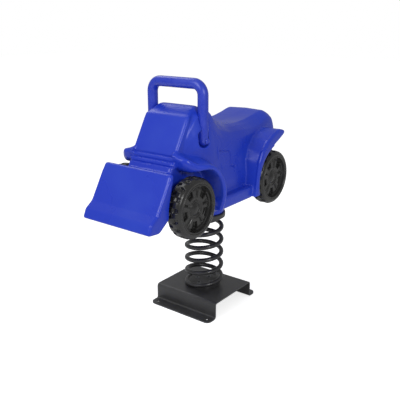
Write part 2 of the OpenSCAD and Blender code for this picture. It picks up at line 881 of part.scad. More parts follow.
module front_left_wheel() { wheel(1, front_axle_y); }
module front_right_wheel() { wheel(-1, front_axle_y); }
module rear_left_wheel() { wheel(1, rear_axle_y); }
module rear_right_wheel() { wheel(-1, rear_axle_y); }
module front_left_bush() { bush(1, front_axle_y); }
module front_right_bush() { bush(-1, front_axle_y); }
module rear_left_bush() { bush(1, rear_axle_y); }
module rear_right_bush() { bush(-1, rear_axle_y); }
module front_left_cap() { cap(1, front_axle_y); }
module front_right_cap() { cap(-1, front_axle_y); }
module rear_left_cap() { cap(1, rear_axle_y); }
module rear_right_cap() { cap(-1, rear_axle_y); }

base_frame();
lower_clamp();
lower_clamp_bolts();
lower_clamp_nuts();
coil_spring();
upper_cup();
upper_clamp();
upper_clamp_bolts();
body_inserts();
body_shell();
handle_bar();
handle_bolts();
front_axle();
rear_axle();
axle_spacers();
axle_nuts();
front_right_wheel();
front_left_wheel();
rear_right_wheel();
rear_left_wheel();
front_right_bush();
front_left_bush();
rear_right_bush();
rear_left_bush();
front_right_cap();
front_left_cap();
rear_right_cap();
rear_left_cap();
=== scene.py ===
"""Looks of the spring rider: moulded body, coil spring, wheels and steel parts on the CAD frame."""

from __future__ import annotations

import json
import logging
import math
from collections.abc import Sequence
from dataclasses import dataclass
from enum import Enum

import bmesh
import bpy
import numpy as np
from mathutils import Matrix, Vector

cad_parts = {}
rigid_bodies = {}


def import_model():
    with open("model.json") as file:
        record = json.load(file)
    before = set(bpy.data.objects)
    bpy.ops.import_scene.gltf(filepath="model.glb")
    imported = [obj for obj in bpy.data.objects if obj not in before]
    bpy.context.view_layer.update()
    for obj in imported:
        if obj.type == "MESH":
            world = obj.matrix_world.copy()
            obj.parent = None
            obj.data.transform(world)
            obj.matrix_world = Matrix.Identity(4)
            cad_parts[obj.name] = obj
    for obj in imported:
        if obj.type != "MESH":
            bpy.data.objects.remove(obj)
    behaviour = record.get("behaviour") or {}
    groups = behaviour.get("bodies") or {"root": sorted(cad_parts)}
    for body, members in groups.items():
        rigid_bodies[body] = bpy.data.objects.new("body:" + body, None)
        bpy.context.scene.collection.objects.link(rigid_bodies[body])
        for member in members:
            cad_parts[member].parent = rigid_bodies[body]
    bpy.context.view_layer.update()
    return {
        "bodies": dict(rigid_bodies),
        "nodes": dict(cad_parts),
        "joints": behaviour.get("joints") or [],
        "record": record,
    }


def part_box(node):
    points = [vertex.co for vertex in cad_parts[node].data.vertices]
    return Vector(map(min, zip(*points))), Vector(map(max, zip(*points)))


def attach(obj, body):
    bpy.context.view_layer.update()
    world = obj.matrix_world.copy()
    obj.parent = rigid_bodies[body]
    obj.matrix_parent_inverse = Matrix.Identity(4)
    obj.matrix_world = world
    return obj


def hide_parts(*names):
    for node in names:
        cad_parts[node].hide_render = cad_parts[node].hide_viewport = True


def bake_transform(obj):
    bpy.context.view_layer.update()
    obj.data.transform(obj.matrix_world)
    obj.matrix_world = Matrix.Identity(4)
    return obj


log = logging.getLogger("spring_rider")

MM = 0.001
CORNERS = ("front_left", "front_right", "rear_left", "rear_right")

Colour = tuple[float, float, float, float]


# Shader expressions


class Value:
    """A shader socket that Python arithmetic works on."""

    def __init__(self, maker: Maker, socket: bpy.types.NodeSocket) -> None:
        """Wraps one output socket of a maker's node tree.

        Args:
            maker: the material's maker, which adds the nodes.
            socket: the output.
        """
        self.maker = maker
        self.socket = socket

    def _math(self, operation: str, other: Value | float, swapped: bool = False) -> Value:
        """Adds a Math node.

        Args:
            operation: the node's operation.
            other: the second operand.
            swapped: True if the other one comes first.

        Returns:
            The node's result.
        """
        pair = [other, self] if swapped else [self, other]
        return self.maker.node("ShaderNodeMath", {"operation": operation}, {0: pair[0], 1: pair[1]})

    def __add__(self, other: Value | float) -> Value:
        """Sum."""
        return self._math("ADD", other)

    __radd__ = __add__

    def __sub__(self, other: Value | float) -> Value:
        """Difference."""
        return self._math("SUBTRACT", other)

    def __rsub__(self, other: Value | float) -> Value:
        """Difference with this one taken away."""
        return self._math("SUBTRACT", other, swapped=True)

    def __mul__(self, other: Value | float) -> Value:
        """Product."""
        return self._math("MULTIPLY", other)

    __rmul__ = __mul__

    def __truediv__(self, other: Value | float) -> Value:
        """Quotient."""
        return self._math("DIVIDE", other)

    def __pow__(self, other: Value | float) -> Value:
        """Power."""
        return self._math("POWER", other)

    def ramp(self, low: float, high: float) -> Value:
        """Rises smoothly from 0 at low to 1 at high.

        Args:
            low: where the rise starts.
            high: where it ends.

        Returns:
            The share.
        """
        return self.maker.node(
            "ShaderNodeMapRange",
            {"interpolation_type": "SMOOTHSTEP"},
            {"Value": self, "From Min": low, "From Max": high},
        )


class Maker:
    """Builds one material around a Principled shader."""

    def __init__(self, name: str) -> None:
        """Starts an empty material with that name.

        Args:
            name: the material's name.
        """
        self.material = bpy.data.materials.new(name)
        self.material.use_nodes = True
        self.tree = self.material.node_tree
        self.tree.nodes.clear()
        self.shader = self.tree.nodes.new("ShaderNodeBsdfPrincipled")
        self.output = self.tree.nodes.new("ShaderNodeOutputMaterial")
        self.tree.links.new(self.shader.outputs[0], self.output.inputs["Surface"])
        place = self.tree.nodes.new("ShaderNodeTexCoord")
        self.place = place.outputs["Object"]

    def node(
        self,
        kind: str,
        settings: dict[str, object] | None = None,
        inputs: dict[str | int, object] | None = None,
        output: str | int = 0,
    ) -> Value:
        """Adds any node.

        Args:
            kind: the node's type.
            settings: the node's own settings, which are set first.
            inputs: values or links by socket name or number.
            output: the socket that is wanted.

        Returns:
            That output, ready for arithmetic.
        """
        made = self.tree.nodes.new(kind)
        for key, value in (settings or {}).items():
            setattr(made, key, value)
        for key, value in (inputs or {}).items():
            self.feed(made.inputs[key], value)
        return Value(self, made.outputs[output])

    def feed(self, socket: bpy.types.NodeSocket, value: object) -> None:
        """Links a value to a socket, or sets a constant on it.

        Args:
            socket: the input that is fed.
            value: a value, an output socket or a constant.
        """
        if isinstance(value, Value):
            self.tree.links.new(value.socket, socket)
        elif isinstance(value, bpy.types.NodeSocket):
            self.tree.links.new(value, socket)
        else:
            socket.default_value = value

    def surface(self, **values: object) -> None:
        """Sets the Principled shader's sockets, with _ for a space in their names.

        Args:
            values: a value, a socket or a constant for each of them.
        """
        for key, value in values.items():
            self.feed(self.shader.inputs[key.replace("_", " ")], value)

    def noise(self, size: float, detail: float = 2.0, roughness: float = 0.5) -> Value:
        """Noise between 0 and 1 whose lumps are about size metres across.

        Args:
            size: width of the lumps.
            detail: how many finer layers it has.
            roughness: how strong the finer layers are.

        Returns:
            The noise.
        """
        return self.node(
            "ShaderNodeTexNoise",
            {},
            {"Vector": self.place, "Scale": 1 / size, "Detail": detail, "Roughness": roughness},
        )

    def cells(self, size: float) -> Value:
        """Distance to the nearest of random points about size metres apart, in cell widths."""
        return self.node("ShaderNodeTexVoronoi", {}, {"Vector": self.place, "Scale": 1 / size})

    def mix(self, share: Value | float, first: object, second: object) -> Value:
        """Colour that goes from first to second as share goes from 0 to 1."""
        return self.node(
            "ShaderNodeMix", {"data_type": "RGBA"}, {"Factor": share, 6: first, 7: second}, 2
        )

    def bump(self, relief: Value, depth: float, strength: float = 1.0) -> Value:
        """Normal from a relief of that depth in metres."""
        return self.node(
            "ShaderNodeBump", {}, {"Strength": strength, "Distance": depth, "Height": relief}
        )


def colour(red: float, green: float, blue: float) -> Colour:
    """Linear colour from three screen values between 0 and 255.

    Args:
        red: the red one.
        green: the green one.
        blue: the blue one.

    Returns:
        Red, green, blue and an alpha of 1.
    """
    shares = [c / 255 for c in (red, green, blue)]
    linear = [c / 12.92 if c <= 0.04045 else ((c + 0.055) / 1.055) ** 2.4 for c in shares]
    return (linear[0], linear[1], linear[2], 1.0)


# Finishes


@dataclass(frozen=True)
class RotomouldedPlastic:
    """Through-coloured polyethylene with the fine skin that a heated mould leaves."""

    name: str = "rotomoulded_blue"
    tone: Colour = colour(30, 57, 189)
    faded: Colour = colour(38, 68, 192)
    # Darker blue that is painted into the pores' pits as painted shade.
    pore_shade: Colour = colour(25, 47, 172)
    scuffed: Colour = colour(104, 122, 220)
    roughness: float = 0.27
    cloud_size: float = 160 * MM
    skin_size: float = 2.1 * MM
    pore_size: float = 4.2 * MM
    scuff_size: float = 14 * MM
    relief: float = 0.2 * MM
    relief_strength: float = 0.22

    def make(self) -> bpy.types.Material:
        """Builds the finish.

        Returns:
            The material, ready to be put on a piece.
        """
        m = Maker(self.name)
        clouds = m.noise(self.cloud_size, 3.0).ramp(0.38, 0.66)
        skin = m.noise(self.skin_size, 2.0, 0.55)
        pores = 1 - m.cells(self.pore_size).ramp(0.02, 0.16)
        scuffs = m.noise(self.scuff_size, 6.0, 0.7).ramp(0.64, 0.8)
        base = m.mix(clouds * 0.5, self.tone, self.faded)
        # Painted shade: the pores are dented by the bump and painted a darker blue in their pits.
        base = m.mix(pores * 0.35, base, self.pore_shade)
        base = m.mix(scuffs * 0.1, base, self.scuffed)
        m.surface(
            Base_Color=base,
            Roughness=self.roughness + 0.06 * clouds + 0.1 * scuffs,
            IOR=1.46,
            Specular_IOR_Level=0.4,
            Coat_Weight=0.08,
            Coat_Roughness=0.2,
            Normal=m.bump(skin - 0.5 * pores, self.relief, self.relief_strength),
        )
        return m.material


@dataclass(frozen=True)
class PowderCoat:
    """Baked coating on steel, with a light orange-peel skin and rubbed spots."""

    name: str
    tone: Colour
    rubbed: Colour
    roughness: float = 0.38
    peel_size: float = 2.6 * MM
    dust_size: float = 50 * MM
    speck_size: float = 6 * MM
    relief: float = 0.3 * MM

    def make(self) -> bpy.types.Material:
        """Builds the finish.

        Returns:
            The material, ready to be put on a piece.
        """
        m = Maker(self.name)
        peel = m.noise(self.peel_size, 1.5, 0.5)
        dust = m.noise(self.dust_size, 4.0, 0.6).ramp(0.42, 0.7)
        specks = 1 - m.cells(self.speck_size).ramp(0.03, 0.1)
        base = m.mix(dust * 0.35, self.tone, self.rubbed)
        base = m.mix(specks * 0.25, base, self.rubbed)
        m.surface(
            Base_Color=base,
            Roughness=self.roughness + 0.14 * dust,
            IOR=1.5,
            Coat_Weight=0.15,
            Coat_Roughness=0.25,
            Normal=m.bump(peel + 0.3 * specks, self.relief, 0.45),
        )
        return m.material


@dataclass(frozen=True)
class MouldedTyre:
    """Hard moulded plastic of the wheels, a little dusty in patches."""

    name: str = "wheel_moulding"
    tone: Colour = colour(34, 34, 34)
    dusty: Colour = colour(56, 55, 53)
    roughness: float = 0.26
    grain_size: float = 1.1 * MM
    dust_size: float = 30 * MM
    relief: float = 0.2 * MM

    def make(self) -> bpy.types.Material:
        """Builds the finish.

        Returns:
            The material, ready to be put on a piece.
        """
        m = Maker(self.name)
        grain = m.noise(self.grain_size, 2.0, 0.6)
        dust = m.noise(self.dust_size, 5.0, 0.65).ramp(0.5, 0.74)
        m.surface(
            Base_Color=m.mix(dust * 0.4, self.tone, self.dusty),
            Roughness=self.roughness + 0.16 * dust,
            IOR=1.5,
            Normal=m.bump(grain, self.relief, 0.5),
        )
        return m.material


@dataclass(frozen=True)
class ZincPlate:
    """Dulled zinc plating with faint crystal patches and fine scratches."""

    name: str = "zinc_plating"
    tone: Colour = colour(126, 128, 132)
    dull: Colour = colour(92, 94, 98)
    roughness: float = 0.3
    patch_size: float = 4 * MM
    scratch_size: float = 0.9 * MM
    relief: float = 0.1 * MM

    def make(self) -> bpy.types.Material:
        """Builds the finish.

        Returns:
            The material, ready to be put on a piece.
        """
        m = Maker(self.name)
        patches = m.cells(self.patch_size).ramp(0.2, 0.75)
        scratches = m.noise(self.scratch_size, 3.0, 0.7)
        m.surface(
            Base_Color=m.mix(patches * 0.6, self.tone, self.dull),
            Metallic=1.0,
            Roughness=self.roughness + 0.2 * patches,
            Normal=m.bump(scratches, self.relief, 0.35),
        )
        return m.material


class Finish(Enum):
    """The finishes that pieces ask for."""

    BODY = RotomouldedPlastic()
    HANDLE = PowderCoat("handle_coating", colour(30, 54, 182), colour(56, 76, 198), 0.26)
    SPRING = PowderCoat("spring_coating", colour(39, 39, 41), colour(60, 60, 62), 0.28)
    STEEL = PowderCoat("frame_coating", colour(49, 49, 50), colour(68, 68, 69), 0.36, 3.4 * MM)
    WHEEL = MouldedTyre()
    BUSH = MouldedTyre("bush_moulding", colour(150, 150, 148), colour(120, 118, 112))
    ZINC = ZincPlate()


class Paintbox:
    """Makes each finish once and hands it out."""

    def __init__(self) -> None:
        """Starts with nothing made."""
        self.made: dict[Finish, bpy.types.Material] = {}

    def get(self, finish: Finish) -> bpy.types.Material:
        """The material of a finish.

        Args:
            finish: which one.

        Returns:
            The material, made on first use.
        """
        if finish not in self.made:
            self.made[finish] = finish.value.make()
        return self.made[finish]


# Mesh helpers


def smoothstep(low: float, high: float, x: np.ndarray) -> np.ndarray:
    """Smooth rise from 0 at low to 1 at high."""
    t = np.clip((x - low) / (high - low), 0, 1)
    return t * t * (3 - 2 * t)


@dataclass(frozen=True)
class Band:
    """A range with soft ends, either of which may be missing."""

    rise: tuple[float, float] | None = None
    fall: tuple[float, float] | None = None

    def share(self, x: np.ndarray) -> np.ndarray:
        """1 inside the band and 0 outside it.

        Args:
            x: places along the range.

        Returns:
            A share between 0 and 1 for each of them.
        """
        inside = np.ones_like(x)
        if self.rise:
            inside = inside * smoothstep(*self.rise, x)
        if self.fall:
            inside = inside * (1 - smoothstep(*self.fall, x))
        return inside


class Neighbours:
    """The edges of a mesh, for means over each vertex's neighbours."""

    def __init__(self, first: np.ndarray, second: np.ndarray, count: int) -> None:
        """Takes both ends of every edge and the number of vertices.

        Args:
            first: number of the vertex at each edge's one end.
            second: and at its other end.
            count: how many vertices there are.
        """
        self.first = first
        self.second = second
        self.count = count
        degree = np.bincount(np.concatenate([first, second]), minlength=count)
        self.degree = np.maximum(degree, 1)[:, None]

    @classmethod
    def of_mesh(cls, mesh: bpy.types.Mesh) -> Neighbours:
        """All edges of a mesh.

        Args:
            mesh: the mesh.

        Returns:
            Its neighbours.
        """
        ends = np.empty(len(mesh.edges) * 2, dtype=np.int64)
        mesh.edges.foreach_get("vertices", ends)
        first, second = ends.reshape(-1, 2).T
        return cls(first, second, len(mesh.vertices))

    def near(self, share: np.ndarray) -> Neighbours:
        """Only the edges with an end where a share is over 0."""
        kept = (share[self.first, 0] > 0) | (share[self.second, 0] > 0)
        return Neighbours(self.first[kept], self.second[kept], self.count)

    def mean(self, values: np.ndarray) -> np.ndarray:
        """Mean of values, one row for each vertex, over each vertex's neighbours.

        Args:
            values: the rows.

        Returns:
            As many rows of means.
        """
        total = np.empty_like(values)
        for k in range(values.shape[1]):
            total[:, k] = np.bincount(self.first, values[self.second, k], self.count)
            total[:, k] += np.bincount(self.second, values[self.first, k], self.count)
        return total / self.degree


def new_piece(name: str, points: np.ndarray, faces: Sequence[Sequence[int]]) -> bpy.types.Object:
    """Makes a smooth-shaded object.

    Args:
        name: the piece's name.
        points: vertices in metres in the frame's axes.
        faces: vertex numbers of each face.

    Returns:
        The object, linked to the scene.
    """
    mesh = bpy.data.meshes.new(name)
    mesh.from_pydata(points.tolist(), [], [list(f) for f in faces])
    mesh.validate()
    return piece_from_mesh(name, mesh)


def piece_from_mesh(name: str, mesh: bpy.types.Mesh) -> bpy.types.Object:
    """Puts a mesh into the scene as a smooth-shaded object.

    Args:
        name: the piece's name.
        mesh: its mesh.

    Returns:
        The object.
    """
    mesh.shade_smooth()
    piece = bpy.data.objects.new(name, mesh)
    bpy.context.scene.collection.objects.link(piece)
    return piece


def paint(piece: bpy.types.Object, material: bpy.types.Material) -> None:
    """Gives a piece one material."""
    piece.data.materials.clear()
    piece.data.materials.append(material)


def tube(path: np.ndarray, radii: np.ndarray, sides: int) -> tuple[np.ndarray, list[list[int]]]:
    """Round tube along a path, with closed ends.

    Args:
        path: centre points in metres.
        radii: the tube's radius at each of them.
        sides: points round the tube.

    Returns:
        Vertices and faces.
    """
    ahead = np.gradient(path, axis=0)
    ahead /= np.linalg.norm(ahead, axis=1)[:, None]
    across = np.zeros_like(path)
    last = np.array([1.0, 0.0, 0.0]) if abs(ahead[0][0]) < 0.9 else np.array([0.0, 1.0, 0.0])
    for i, direction in enumerate(ahead):
        last = last - direction * last.dot(direction)
        last /= np.linalg.norm(last)
        across[i] = last
    up = np.cross(ahead, across)
    turn = np.linspace(0, 2 * math.pi, sides, endpoint=False)
    ring = np.cos(turn)[None, :, None] * across[:, None] + np.sin(turn)[None, :, None] * up[:, None]
    points = (path[:, None] + radii[:, None, None] * ring).reshape(-1, 3)
    faces = []
    for j in range(len(path) - 1):
        for i in range(sides):
            a, b = j * sides + i, j * sides + (i + 1) % sides
            faces.append([a, b, b + sides, a + sides])
    faces.append(list(range(sides))[::-1])
    faces.append([(len(path) - 1) * sides + i for i in range(sides)])
    return points, faces


MERGE_GAP = 0.002 * MM
FLAT_TURN_DEG = 0.6
HARD_TURN_DEG = 30.0


def softened(node: str, edge: float) -> bpy.types.Mesh:
    """Copies a CAD node's mesh with its hard edges rounded.

    Args:
        node: the CAD node.
        edge: width of the rounding in metres.

    Returns:
        The new mesh.
    """
    source = bpy.data.objects.new("source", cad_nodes()[node].data.copy())
    bpy.context.scene.collection.objects.link(source)
    work = bmesh.new()
    work.from_mesh(source.data)
    bmesh.ops.remove_doubles(work, verts=work.verts, dist=MERGE_GAP)
    bmesh.ops.dissolve_limit(
        work, angle_limit=math.radians(FLAT_TURN_DEG), verts=work.verts, edges=work.edges
    )
    work.to_mesh(source.data)
    work.free()
    bevel = source.modifiers.new("edges", "BEVEL")
    bevel.width = edge
    bevel.segments = 2
    bevel.limit_method = "ANGLE"
    bevel.angle_limit = math.radians(HARD_TURN_DEG)
    source.data.shade_smooth()
    weigh = source.modifiers.new("normals", "WEIGHTED_NORMAL")
    weigh.mode = "FACE_AREA"
    weigh.weight = 100
    graph = bpy.context.evaluated_depsgraph_get()
    mesh = bpy.data.meshes.new_from_object(source.evaluated_get(graph))
    bpy.data.objects.remove(source)
    return mesh


_frame: dict[str, object] = {}


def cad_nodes() -> dict[str, bpy.types.Object]:
    """The CAD nodes by name."""
    return _frame["nodes"]


# Sub-assemblies


@dataclass
class CopiedPart:
    """A CAD node that is shown with rounded edges and a better finish."""

    node: str
    body: str
    finish: Finish
    slot: str
    edge: float = 0.6 * MM

    def dress(self, paints: Paintbox) -> None:
        """Builds the piece and puts it in the node's place.

        Args:
            paints: hands out the finishes.
        """
        piece = piece_from_mesh(f"{self.node}_finished", softened(self.node, self.edge))
        paint(piece, paints.get(self.finish))
        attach(piece, self.body)
        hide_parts(self.node)
        log.info("%s: %d faces", piece.name, len(piece.data.polygons))


@dataclass(frozen=True)
class SideLine:
    """A line along the body's sides, cut in or raised, as points in Y and Z."""

    line: tuple[tuple[float, float], ...]
    width: float
    depth: float

    def distance(self, points: np.ndarray) -> np.ndarray:
        """Distance of points from the line, seen from the side.

        Args:
            points: places in metres, one in each row.

        Returns:
            The distances in metres.
        """
        y, z = points[:, 1], points[:, 2]
        best = np.full(len(y), np.inf)
        for (y0, z0), (y1, z1) in zip(self.line, self.line[1:]):
            dy, dz = y1 - y0, z1 - z0
            share = np.clip(((y - y0) * dy + (z - z0) * dz) / (dy * dy + dz * dz), 0, 1)
            best = np.minimum(best, np.hypot(y - y0 - share * dy, z - z0 - share * dz))
        return best


@dataclass(frozen=True)
class Zone:
    """A part of the shell that is eased more than the rest, alike on both sides."""

    strength: float
    x: Band = Band()
    y: Band = Band()
    z: Band = Band()

    def share(self, points: np.ndarray) -> np.ndarray:
        """The zone's strength at each of the points.

        Args:
            points: places in metres, one in each row.

        Returns:
            Shares between 0 and the zone's strength.
        """
        bands = ((self.x, np.abs(points[:, 0])), (self.y, points[:, 1]), (self.z, points[:, 2]))
        share = np.full(len(points), self.strength)
        for band, place in bands:
            share = share * band.share(place)
        return share


FENDER_WALL = Zone(
    1.0,
    x=Band((0.136, 0.152), (0.168, 0.178)),
    y=Band((0.064, 0.074), (0.205, 0.232)),
    z=Band(rise=(0.484, 0.500)),
)
BONNET_BROW = Zone(
    0.25, x=Band(fall=(0.082, 0.094)), y=Band(fall=(-0.135, -0.120)), z=Band(rise=(0.730, 0.750))
)
BLADE_JOINT = Zone(0.06, y=Band(fall=(-0.280, -0.272)), z=Band((0.574, 0.582), (0.602, 0.608)))

DOOR_LINE = SideLine(
    ((-0.078, 0.622), (-0.011, 0.609), (-0.015, 0.560), (0.012, 0.550)), 6 * MM, 3.8 * MM
)
DOOR_END = SideLine(((-0.096, 0.640), (-0.092, 0.600)), 5 * MM, 2 * MM)
DOOR_HANDLE = SideLine(((-0.076, 0.578), (-0.070, 0.562)), 5 * MM, 2.4 * MM)
REAR_LIP = SideLine(
    (
        (0.079, 0.468), (0.083, 0.500), (0.093, 0.555), (0.113, 0.592),
        (0.150, 0.626), (0.190, 0.646), (0.222, 0.657),
    ),
    12 * MM,
    2.8 * MM,
)


@dataclass
class MouldedBody:
    """The rotomoulded shell: the CAD form, remeshed finely and eased as a hollow moulding is."""

    voxel: float = 2.1 * MM
    first_rounds: int = 6
    spread_rounds: int = 6
    rounds: int = 26
    face_share: float = 0.5
    edge_share: float = 0.03
    pull_back: float = 0.918
    flat_bend: float = 0.05
    sharp_bend: float = 0.13
    zones: tuple[Zone, ...] = (FENDER_WALL, BONNET_BROW, BLADE_JOINT)
    zone_rounds: int = 260
    zone_share: float = 0.7
    engravings: tuple[SideLine, ...] = (DOOR_LINE, DOOR_END, DOOR_HANDLE)
    side_x: float = 100 * MM
    bead: SideLine = REAR_LIP
    bead_x: float = 179 * MM
    bead_half: float = 8 * MM
    rear_arch: tuple[float, float] = (0.224, 0.472)
    front_slope: float = 69 / 116
    front_y: float = -279 * MM
    front_z: float = 631 * MM
    grooves: int = 3
    groove_top_z: float = 632 * MM
    groove_pitch: float = 14.6 * MM
    groove_w: float = 6.5 * MM
    groove_depth: float = 3.2 * MM
    groove_reach: float = 7 * MM
    groove_half: float = 96 * MM
    groove_low_z: float = 599 * MM

    def mesh(self) -> bpy.types.Mesh:
        """Remeshes the CAD shell and eases it.
        """
        source = bpy.data.objects.new("shell_source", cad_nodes()["body_shell"].data.copy())
        bpy.context.scene.collection.objects.link(source)
        remesh = source.modifiers.new("even", "REMESH")
        remesh.mode = "VOXEL"
        remesh.voxel_size = self.voxel * 1
        graph = bpy.context.evaluated_depsgraph_get()
        mesh = bpy.data.meshes.new_from_object(source.evaluated_get(graph))
        bpy.data.objects.remove(source)
        self.shape(mesh)
        return mesh

    def shape(self, mesh: bpy.types.Mesh) -> None:
        """Smooths facets away, rounds the edges and adds the fine lines, within the CAD box.

        Args:
            mesh: the remeshed shell, which is changed in place.
        """
        points = np.empty(len(mesh.vertices) * 3)
        mesh.vertices.foreach_get("co", points)
        points = points.reshape(-1, 3)
        net = Neighbours.of_mesh(mesh)
        self.round_edges(points, net)
        self.ease_zones(points, net)
        self.engrave_sides(points)
        self.raise_beads(points)
        self.cut_grooves(points)
        low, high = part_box("body_shell")
        points = np.clip(points, np.array(low), np.array(high))
        mesh.vertices.foreach_set("co", points.ravel())
        mesh.update()

    def round_edges(self, points: np.ndarray, net: Neighbours) -> None:
        """Smooths the voxels' steps away, on edges less than on broad faces, in place.

        Args:
            points: the shell's vertices.
            net: its edges.
        """
        for _ in range(self.first_rounds):
            points += 0.5 * (net.mean(points) - points)
        bend = np.linalg.norm(net.mean(points) - points, axis=1)[:, None]
        for _ in range(self.spread_rounds):
            bend = np.maximum(bend, net.mean(bend))
        flat = 1 - smoothstep(self.flat_bend * self.voxel, self.sharp_bend * self.voxel, bend)
        share = self.edge_share + (self.face_share - self.edge_share) * flat
        for _ in range(self.rounds):
            points += share * (net.mean(points) - points)
            points -= self.pull_back * share * (net.mean(points) - points)

    def ease_zones(self, points: np.ndarray, net: Neighbours) -> None:
        """Eases the zones more than the rest, in place.

        Args:
            points: the shell's vertices.
            net: its edges.
        """
        share = np.max([zone.share(points) for zone in self.zones], axis=0)[:, None]
        near = net.near(share)
        for _ in range(self.zone_rounds):
            points += self.zone_share * share * (near.mean(points) - points)

    def engrave_sides(self, points: np.ndarray) -> None:
        """Cuts the shallow lines into both sides, in place.

        Args:
            points: the shell's vertices.
        """
        for line in self.engravings:
            away = line.distance(points)
            dent = line.depth * (1 - smoothstep(0.2 * line.width, 0.6 * line.width, away))
            on_side = np.abs(points[:, 0]) > self.side_x
            points[:, 0] -= np.sign(points[:, 0]) * dent * on_side

    def raise_beads(self, points: np.ndarray) -> None:
        """Raises the round bead along the rear fenders' lips, in place.

        Args:
            points: the shell's vertices.
        """
        away = self.bead.distance(points)
        across = np.clip((np.abs(points[:, 0]) - self.bead_x) / self.bead_half, -1, 1)
        rise = self.bead.depth * np.cos(0.5 * math.pi * across) ** 2
        rise = rise * (1 - smoothstep(0.5 * self.bead.width, self.bead.width, away))
        out = points[:, 1:] - np.array(self.rear_arch)
        points[:, 1:] += rise[:, None] * out / np.linalg.norm(out, axis=1)[:, None]

    def cut_grooves(self, points: np.ndarray) -> None:
        """Sharpens the grooves across the bonnet's sloping front, in place.

        Args:
            points: the shell's vertices.
        """
        y, z = points[:, 1], points[:, 2]
        plane_y = self.front_y + (z - self.front_z) * self.front_slope
        run = math.hypot(1, self.front_slope)
        on_front = np.abs(y - plane_y) / run < self.groove_reach
        on_front &= (np.abs(points[:, 0]) < self.groove_half) & (z > self.groove_low_z)
        for k in range(self.grooves):
            height = self.groove_top_z - k * self.groove_pitch
            off = np.abs(z - height) * run
            dent = self.groove_depth * (1 - smoothstep(0.15 * self.groove_w, 0.5 * self.groove_w, off))
            dent = dent * on_front
            points[:, 1] += dent / run
            points[:, 2] -= dent * self.front_slope / run

    def dress(self, paints: Paintbox) -> None:
        """Builds the shell and puts it in the node's place.

        Args:
            paints: hands out the finishes.
        """
        piece = piece_from_mesh("body_moulding", self.mesh())
        paint(piece, paints.get(Finish.BODY))
        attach(piece, "rider")
        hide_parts("body_shell")
        log.info("%s: %d faces", piece.name, len(piece.data.polygons))


@dataclass
class CoilSpring:
    """The round-wire spring, in two pieces split at one height."""

    outside_d: float = 150 * MM
    wire_d: float = 17 * MM
    low_z: float = 66.3 * MM
    high_z: float = 359.7 * MM
    turns: float = 6.25
    end_flat: float = 0.42
    start_deg: float = 86.0
    split_z: float = 213 * MM
    per_turn: int = 56
    sides: int = 18

    def path(self) -> np.ndarray:
        """Centre points of the wire.

        Returns:
            One point in each row, in metres, from the bottom up.
        """
        wire_r = self.wire_d / 2
        first, last = self.low_z + wire_r, self.high_z - wire_r
        t = np.linspace(0, self.turns, round(self.turns * self.per_turn) + 1)
        rising = self.turns - 2 * self.end_flat
        rise = np.clip(t - self.end_flat, 0, rising) / rising
        turn = np.radians(self.start_deg) + 2 * math.pi * t
        reach = self.outside_d / 2 - wire_r
        return np.stack([reach * np.cos(turn), reach * np.sin(turn), first + (last - first) * rise], 1)

    def dress(self, paints: Paintbox) -> None:
        """Builds both pieces and puts them in the node's place.

        Args:
            paints: hands out the finishes.
        """
        path = self.path()
        cut = int(np.argmin(np.abs(path[:, 2] - self.split_z)))
        wire_r = self.wire_d / 2
        halves = {
            "spring_lower_turns": (path[: cut + 1], "base", "spring", self.low_z, self.split_z),
            "spring_upper_turns": (path[cut:], "spring", "rider", self.split_z, self.high_z - wire_r),
        }
        for name, (part, below, above, start, end) in halves.items():
            radii = np.full(len(part), wire_r)
            piece = new_piece(name, *tube(part, radii, self.sides))
            paint(piece, paints.get(Finish.SPRING))
            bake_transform(piece)
            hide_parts("coil_spring")
            log.info("%s: %d faces", piece.name, len(piece.data.polygons))


@dataclass
class HandleTube:
    """The steel tube bent to an inverted U, with closed round feet."""

    tube_d: float = 36 * MM
    leg_pitch: float = 216 * MM
    bend_r: float = 36 * MM
    y: float = -152 * MM
    foot_z: float = 668 * MM
    top_z: float = 869 * MM
    sides: int = 48

    def path(self) -> tuple[np.ndarray, np.ndarray]:
        """Centre points and radii from one foot to the other.

        Returns:
            The points in metres, one in each row, and the tube's radius at each.
        """
        r = self.tube_d / 2
        x, axis_z = self.leg_pitch / 2, self.top_z - self.tube_d / 2
        turn = np.linspace(0, math.pi / 2, 13)
        foot = np.linspace(0.08, math.pi / 2, 7)
        half = [(x, self.foot_z - r * math.cos(a), r * math.sin(a)) for a in foot]
        half += [(x, z, r) for z in np.linspace(self.foot_z, axis_z - self.bend_r, 12)[1:-1]]
        centre_x, centre_z = x - self.bend_r, axis_z - self.bend_r
        half += [
            (centre_x + self.bend_r * math.cos(a), centre_z + self.bend_r * math.sin(a), r)
            for a in turn
        ]
        half += [(s * centre_x, axis_z, r) for s in (0.75, 0.5, 0.25)]
        whole = half + [(0.0, axis_z, r)] + [(-px, pz, pr) for px, pz, pr in reversed(half)]
        points = np.array([(px, self.y, pz) for px, pz, _ in whole])
        return points, np.array([pr for _, _, pr in whole])

    def dress(self, paints: Paintbox) -> None:
        """Builds the tube and puts it in the node's place.

        Args:
            paints: hands out the finishes.
        """
        path, radii = self.path()
        piece = new_piece("handle_tube", *tube(path, radii, self.sides))
        paint(piece, paints.get(Finish.HANDLE))
        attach(piece, "rider")
        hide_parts("handle_bar")
        log.info("%s: %d faces", piece.name, len(piece.data.polygons))


